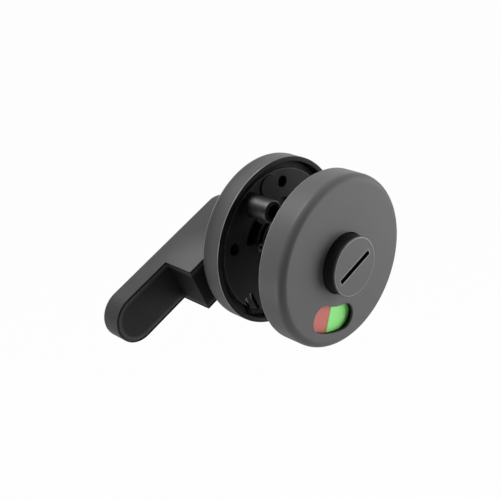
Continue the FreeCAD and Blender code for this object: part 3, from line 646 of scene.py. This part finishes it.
lever = rod("lever", HALF_WIDTH, BLADE_FACE, BLADE_BACK, facets=128, first=LEVER_ANGLE + 180 / 128)
work_on(lever)
bpy.ops.object.mode_set(mode="EDIT")
pick(lever, "VERT", lambda point: point.dot(lever_way) > 0)
bpy.ops.transform.translate(value=lever_way * TIP_TRAVEL)
pick(lever, "FACE", lambda point: near(point.y, BLADE_FACE))
bpy.ops.mesh.bisect(plane_co=lever_way * HUB_REACH, plane_no=lever_way)
pick(lever, "FACE",
     lambda point: near(point.y, BLADE_FACE) and point.dot(lever_way) < HUB_REACH + 0.01 * MM)
bpy.ops.mesh.extrude_region_move(TRANSFORM_OT_translate={"value": (0, HUB_FACE - BLADE_FACE, 0)})
bpy.ops.mesh.select_all(action="SELECT")
bpy.ops.mesh.normals_make_consistent(inside=False)
bpy.ops.object.mode_set(mode="OBJECT")
bevel_picked(lever, BLADE_ROUND, 8, lambda point: near(point.y, BLADE_BACK))


def on_door_side(points):
    """Whether a face looks at the door or is the hub's end wall."""
    return (all(near(point.y, HUB_FACE) for point in points)
            or all(near(point.y, BLADE_FACE) for point in points)
            or all(near(point.dot(lever_way), HUB_REACH) for point in points))


bpy.ops.object.mode_set(mode="EDIT")
bpy.ops.mesh.select_mode(type="FACE")
bpy.ops.mesh.select_all(action="DESELECT")
bpy.ops.object.mode_set(mode="OBJECT")
for face in lever.data.polygons:
    face.select = on_door_side([lever.data.vertices[number].co for number in face.vertices])
bpy.ops.object.mode_set(mode="EDIT")
for inwards, rise in GROOVE_STEPS:
    bpy.ops.mesh.inset(thickness=inwards, depth=rise)
bpy.ops.object.mode_set(mode="OBJECT")
stem = turned("stem", [
    (SHANK - 0.3 * MM, SHANK_END), (SHANK, SHANK_END + 0.3 * MM), (SHANK, CLIP_NEAR),
    (CLIP_GROOVE, CLIP_NEAR), (CLIP_GROOVE, CLIP_FAR), (SHANK, CLIP_FAR), (SHANK, NECK_END),
    (NECK - 0.15 * MM, NECK_END), (NECK, NECK_END + 0.15 * MM), (NECK, HUB_FACE + 1.8 * MM)],
    96, solid=True)
apply_boolean(lever, stem, "UNION")
cut_away(lever, bar("tool", SOCKET, SOCKET, SHANK_END - 1 * MM, SOCKET_END, angle=LEVER_ANGLE))


def towards_tip(across, along):
    """How far along the lever a place lies."""
    return across * lever_way.x + along * lever_way.z


def beside_middle(across, along):
    """How far a place lies to one side of the lever's middle line."""
    return across * lever_way.z - along * lever_way.x


def lever_painted_shade(coat):
    """Painted shade over the lever, with the coat a little smoother there, fading out round a painted
    highlight on the hub's side.
    """
    across, height, along = coat.axes()
    away = distance(towards_tip(across, along) - 23 * MM, height - 29 * MM)
    return away.step(2 * MM, 15 * MM) * (0.75 + coat.noise(6 * MM, 3) * 0.3)


def door_side_black_and_shade(coat):
    """The faces towards the door and the hub's end wall, black inside the groove: partly their own
    black and partly painted shade.
    """
    across, height, along = coat.axes()
    under = (towards_tip(across, along).step(HUB_REACH - 0.3 * MM, HUB_REACH - 0.1 * MM)
             * height.step(BLADE_FACE + 0.2 * MM, BLADE_FACE + 0.03 * MM))
    return under.math("MAXIMUM", height.step(HUB_FACE + 0.3 * MM, HUB_FACE + 0.1 * MM))


def shoulder_painted_highlight(coat):
    """A painted highlight on the soft shoulder inside the groove, which shows a little paler."""
    across, height, along = coat.axes()
    past = (towards_tip(across, along) - TIP_TRAVEL).math("MAXIMUM", 0.0)
    inwards = HALF_WIDTH - distance(past, beside_middle(across, along))
    return inwards.step(0.5 * MM, 0.75 * MM) * inwards.step(2.3 * MM, 0.9 * MM)


# Painted shade over the lever and its door side, with painted highlights on the hub and the groove's
# shoulder.
lever_coat = satin_black("lever_coat", door_side_black_and_shade, shade_and_polish=lever_painted_shade, shoulder=shoulder_painted_highlight)
finish_piece(lever, lever_coat, "turn", "black_metal", "thumb_turn_lever")

# Threaded inserts: two short turned brass sleeves, pressed into the outer plate from its back. The
# bolts through the fixing posts end in them.

refinish(turned_steel("insert_brass", (0.62, 0.45, 0.18), 0.3),
         "bolt_insert_upper", "bolt_insert_lower")

# Spindle: a plain 5 mm square bar of drawn steel. Its ends are chamfered, and it sits loose in the two
# square sockets, so that it takes up the thickness of the door.

SPINDLE_SIDE, SPINDLE_OUTER, SPINDLE_INNER = 5.0 * MM, -7.3 * MM, 32.9 * MM
SPINDLE_CHAMFER = 0.6 * MM

spindle = bar("square_bar", SPINDLE_SIDE, SPINDLE_SIDE, SPINDLE_OUTER, SPINDLE_INNER, angle=LEVER_ANGLE)
bevel_picked(spindle, SPINDLE_CHAMFER, 1, lambda point: near(point.y, SPINDLE_INNER))
bevel_picked(spindle, SPINDLE_CHAMFER, 1, lambda point: near(point.y, SPINDLE_OUTER))
break_edges(spindle, 0.15 * MM)
spindle_steel = Finish("spindle_steel", Metallic=1.0)
drawn = spindle_steel.noise(0.12 * MM, 2, stretch=(1, 0.02, 1))
patches = spindle_steel.noise(3 * MM, 3)
spindle_steel.use(Base_Color=spindle_steel.blend(patches, (0.30, 0.30, 0.31, 1), (0.42, 0.42, 0.43, 1)),
                  Roughness=0.3 + patches * 0.12 + (drawn - 0.5) * 0.1,
                  Normal=spindle_steel.bumps(drawn, 0.004 * MM))
finish_piece(spindle, spindle_steel.material, "turn", "post_steel", "spindle")

# Release button: a turned head with a coin slot, in the same satin black. Behind it a square key drives
# the indicator disc, and a shank with a circlip groove and a square socket goes through the plate.

BUTTON_RADIUS = 8.9 * MM
BUTTON_FACE = -12.7 * MM
BUTTON_BEVEL = 0.45 * MM
BUTTON_BACK, BUTTON_END = -6.65 * MM, -1.25 * MM
RELEASE_CLIP_NEAR, RELEASE_CLIP_FAR = -2.8 * MM, -1.7 * MM
KEY = {"side": 10.6 * MM, "low": -6.9 * MM, "high": -5.85 * MM}
RELEASE_SOCKET_END = -7.4 * MM
SLOT = {"length": 13.2 * MM, "width": 1.5 * MM, "depth": 2.2 * MM}

button = turned("button", [
    (BUTTON_RADIUS, BUTTON_FACE), (BUTTON_RADIUS, BUTTON_BACK), (SHANK, BUTTON_BACK),
    (SHANK, RELEASE_CLIP_NEAR), (CLIP_GROOVE, RELEASE_CLIP_NEAR), (CLIP_GROOVE, RELEASE_CLIP_FAR),
    (SHANK, RELEASE_CLIP_FAR), (SHANK, BUTTON_END - 0.3 * MM), (SHANK - 0.3 * MM, BUTTON_END)],
    160, solid=True)
bevel_picked(button, BUTTON_BEVEL, 5, lambda point: near(point.y, BUTTON_FACE))
key = bar("key", KEY["side"], KEY["side"], KEY["low"], KEY["high"], angle=LEVER_ANGLE)
apply_boolean(button, key, "UNION")
slot = bar("tool", SLOT["length"], SLOT["width"], BUTTON_FACE - 1 * MM, BUTTON_FACE + SLOT["depth"],
           angle=LEVER_ANGLE)
cut_away(button, slot, bar("tool", SOCKET, SOCKET, RELEASE_SOCKET_END, 0.0, angle=LEVER_ANGLE))


def on_slot_edge(point):
    """Whether a point lies on the slot's outline in the button's face."""
    return near(point.y, BUTTON_FACE) and turn_radius(point) < SLOT["length"] / 2 + 0.2 * MM


bevel_picked(button, EDGE_BREAK, 2, on_slot_edge)


def button_painted_shade(coat):
    """Painted shade: the slot's walls and floor near black, and the side darker."""
    across, height, along = coat.axes()
    reach, depth = distance(across, along), height - BUTTON_FACE
    slot = depth.step(0.02 * MM, 0.06 * MM) * reach.step(8.3 * MM, 8.0 * MM)
    side = depth.step(0.35 * MM, 0.9 * MM) * reach.step(8.7 * MM, 8.85 * MM)
    return slot.math("MAXIMUM", side * 0.85)


def painted_button_highlights(coat):
    """Painted highlights along the edges of the slot and a thin line round the rim."""
    across, height, along = coat.axes()
    reach, depth = distance(across, along), height - BUTTON_FACE
    aside = beside_middle(across, along).math("ABSOLUTE")
    slot = (aside.step(1.15 * MM, 1.0 * MM) * reach.step(7.0 * MM, 6.8 * MM)
            * depth.step(0.03 * MM, 0.01 * MM))
    rim = (reach.step(8.5 * MM, 8.56 * MM) * reach.step(8.8 * MM, 8.74 * MM)
           * depth.step(0.4 * MM, 0.35 * MM))
    return slot.math("MAXIMUM", rim) * (0.25 + coat.noise(2.5 * MM, 2) * 0.8).math("MINIMUM", 0.8)


# Painted shade in the slot and on the side, and painted highlights on the slot's edges and the rim.
button_coat = satin_black("button_coat", button_painted_shade, painted_highlight=painted_button_highlights)
finish_piece(button, button_coat, "turn", "black_metal", "release_button")

# Indicator disc: a moulded nylon disc on the button's key. Two printed labels on it, red and green,
# meet at the middle of the window, and their cut edges show as a thin brown line.

WINDOW_ANGLE = 262.0
RED, RED_CUT_EDGE = (0.62, 0.15, 0.12), (0.34, 0.18, 0.07)
GREEN, GREEN_CUT_EDGE = (0.30, 0.95, 0.24), (0.46, 0.66, 0.25)


def way_round(angle):
    """The direction in which an angle grows."""
    across, along = bearing(angle)
    return Vector((-along, 0, across))


refinish(moulded_nylon("disc_nylon"), "indicator_disc")
split_side = way_round(WINDOW_ANGLE)


def printed_label(name, colour, edge_colour, edge_width, away):
    """Ink on film: nearly even, with a soft mottle and a fine grain, and a cut edge at the split."""
    film = Finish(name, Specular_IOR_Level=0.35)
    across, _, along = film.axes()
    from_split = (across * split_side.x + along * split_side.z) * away
    mottle = film.noise(1.8 * MM, 3)
    grain = film.noise(0.12 * MM, 1)
    ink = film.blend(mottle, shaded(colour, 0.94), shaded(colour, 1.05))
    cut = from_split.step(edge_width + 0.15 * MM, edge_width)
    film.use(Base_Color=film.blend(cut, ink, shaded(edge_colour, 1)), Roughness=0.42 + mottle * 0.1,
             Normal=film.bumps(grain, 0.003 * MM))
    return film.material


refinish(printed_label("red_film", RED, RED_CUT_EDGE, 0.65 * MM, -1), "indicator_red_label")
refinish(printed_label("green_film", GREEN, GREEN_CUT_EDGE, 0.3 * MM, 1), "indicator_green_label")

# Outer rose cover: the other cup, deeper by the indicator. It has the button's opening and a curved
# window with round ends, whose edge is lightly rounded before coating.

OUTER_COVER_DEPTH = 8.7 * MM
OUTER_FACE = OUTER_PANEL - OUTER_COVER_DEPTH
WINDOW = {"half_span": 15.5, "middle": 17.2 * MM, "half_width": 4.15 * MM, "edge": 0.25 * MM}
BUTTON_OPENING = 9.2 * MM
outer_cover = rose_cup("outer_rose", OUTER_PANEL, -1, OUTER_COVER_DEPTH, BUTTON_OPENING)


def window_end(angle, keep):
    """A half disc at one end of the window, its straight edge towards the middle."""
    across, along = bearing(angle, WINDOW["middle"])
    deselect()
    bpy.ops.mesh.primitive_circle_add(vertices=64, radius=WINDOW["half_width"], fill_type="NGON",
                                      location=(across, OUTER_FACE - 1 * MM, along),
                                      rotation=(math.pi / 2, math.radians(90 - angle), 0))
    end = bpy.context.object
    bpy.ops.object.transform_apply(location=True, rotation=True, scale=True)
    bpy.ops.object.mode_set(mode="EDIT")
    bpy.ops.mesh.select_all(action="SELECT")
    bpy.ops.mesh.bisect(plane_co=(across, 0, along), plane_no=way_round(angle) * keep, clear_inner=True)
    bpy.ops.object.mode_set(mode="OBJECT")
    return end


first_angle = WINDOW_ANGLE + WINDOW["half_span"]
window_shape = window_end(first_angle, 1)
bpy.ops.object.mode_set(mode="EDIT")
pick(window_shape, "EDGE", lambda point: near(point.dot(way_round(first_angle)), 0))
bpy.ops.mesh.spin(steps=24, angle=math.radians(2 * WINDOW["half_span"]),
                  center=(0, 0, 0), axis=(0, -1, 0))
bpy.ops.object.mode_set(mode="OBJECT")
window_end(WINDOW_ANGLE - WINDOW["half_span"], -1)
window_shape.select_set(True)
bpy.context.view_layer.objects.active = window_shape
bpy.ops.object.join()
bpy.ops.object.mode_set(mode="EDIT")
bpy.ops.mesh.select_all(action="SELECT")
bpy.ops.mesh.remove_doubles(threshold=0.005 * MM)
bpy.ops.mesh.select_all(action="SELECT")
bpy.ops.mesh.extrude_region_move(TRANSFORM_OT_translate={"value": (0, 3.5 * MM, 0)})
bpy.ops.mesh.select_all(action="SELECT")
bpy.ops.mesh.normals_make_consistent(inside=False)
bpy.ops.object.mode_set(mode="OBJECT")
cut_away(outer_cover, window_shape)
work_on(outer_cover)
bpy.ops.object.mode_set(mode="EDIT")
pick(outer_cover, "FACE", lambda point: near(point.y, OUTER_FACE))
bpy.ops.mesh.dissolve_limited(angle_limit=math.radians(0.5))
bpy.ops.object.mode_set(mode="OBJECT")


def on_window_edge(point):
    """Whether a point lies on the window's outline in the front face."""
    return near(point.y, OUTER_FACE) and near(turn_radius(point), WINDOW["middle"], 4.27 * MM)


bevel_picked(outer_cover, WINDOW["edge"], 4, on_window_edge)

# Painted highlight on the rim's corner, and painted shade on the rim and inside the cover.
outer_coat = satin_black("outer_rose_coat", painted_highlight=lambda coat: painted_rim_highlight(coat, OUTER_PANEL, -1),
                         black_and_shade=lambda coat: cover_inside_painted_shade(coat, OUTER_PANEL, -1, OUTER_COVER_DEPTH))
finish_piece(outer_cover, outer_coat, "root", "black_metal", "outer_rose_cover")

# Floor and light: a white studio. The pale floor lies well below, as the lock hangs free, and keeps a
# faint shadow. Two lamps stand behind to the left, one high and one low, and one in front to the right.

FLOOR_HEIGHT = -0.35

deselect()
bpy.ops.mesh.primitive_plane_add(size=30, location=(0, 0, FLOOR_HEIGHT))
floor = bpy.context.object
floor.name = "floor"
pale = Finish("pale_floor", Base_Color=grey(0.85), Roughness=0.9)
seen = pale.node("ShaderNodeLightPath", {}, {}, "Is Camera Ray")
glow = pale.node("ShaderNodeEmission", {}, {"Color": grey(1.0), "Strength": 1.0})
lit = Shade(pale, pale.shader.outputs["BSDF"])
mixed = pale.node("ShaderNodeMixShader", {}, {0: seen * 0.98, 1: lit, 2: glow})
output = next(n for n in pale.tree.nodes if n.type == "OUTPUT_MATERIAL")
pale.tree.links.new(mixed.socket, output.inputs["Surface"])
floor.data.materials.append(pale.material)

AMBIENT = 0.155
BACKDROP_WAY = (0.77, 0.63, 0.0)
world = bpy.data.worlds.new("studio")
bpy.context.scene.world = world
world.use_nodes = True
studio = Nodes(world.node_tree)
looking = studio.node("ShaderNodeTexCoord", {}, {}, "Generated")
towards = studio.node("ShaderNodeVectorMath", {"operation": "DOT_PRODUCT"},
                      {0: looking, 1: BACKDROP_WAY}, "Value")
camera_ray, glossy_ray, through_ray = (
    studio.node("ShaderNodeLightPath", {}, {}, kind)
    for kind in ("Is Camera Ray", "Is Glossy Ray", "Is Transmission Ray"))
mirrored = towards.step(-0.1, 0.7) * 0.9 + 0.06
strength = (glossy_ray * mirrored).math("MAXIMUM", camera_ray).math("MAXIMUM", through_ray)
strength = strength.math("MAXIMUM", (1 - glossy_ray) * AMBIENT)
sky = next(n for n in world.node_tree.nodes if n.type == "BACKGROUND")
studio.set_sockets(sky, {"Color": grey(1.0), "Strength": strength})


LOCK_MIDDLE = Vector((0, 15 * MM, 0))


def lamp(name, way, away, size, level):
    """A soft square lamp that looks at the lock. Level 1 shows a face turned to it as it is."""
    light = bpy.data.lights.new(name, "AREA")
    light.size = size
    light.energy = level * math.pi ** 2 * away ** 2
    holder = bpy.data.objects.new(name, light)
    bpy.context.scene.collection.objects.link(holder)
    holder.location = LOCK_MIDDLE + Vector(way).normalized() * away
    holder.rotation_euler = (LOCK_MIDDLE - holder.location).to_track_quat("-Z", "Y").to_euler()
    holder.visible_camera = False


lamp("high_left", (-0.42, 0.27, 0.86), 0.45, 0.22, 1.05)
lamp("low_left", (-0.62, 0.27, -0.55), 0.5, 0.22, 0.42)
lamp("front_right", (0.76, -0.64, 0.12), 1.0, 0.9, 0.98)

bpy.context.scene.view_settings.view_transform = "Standard"
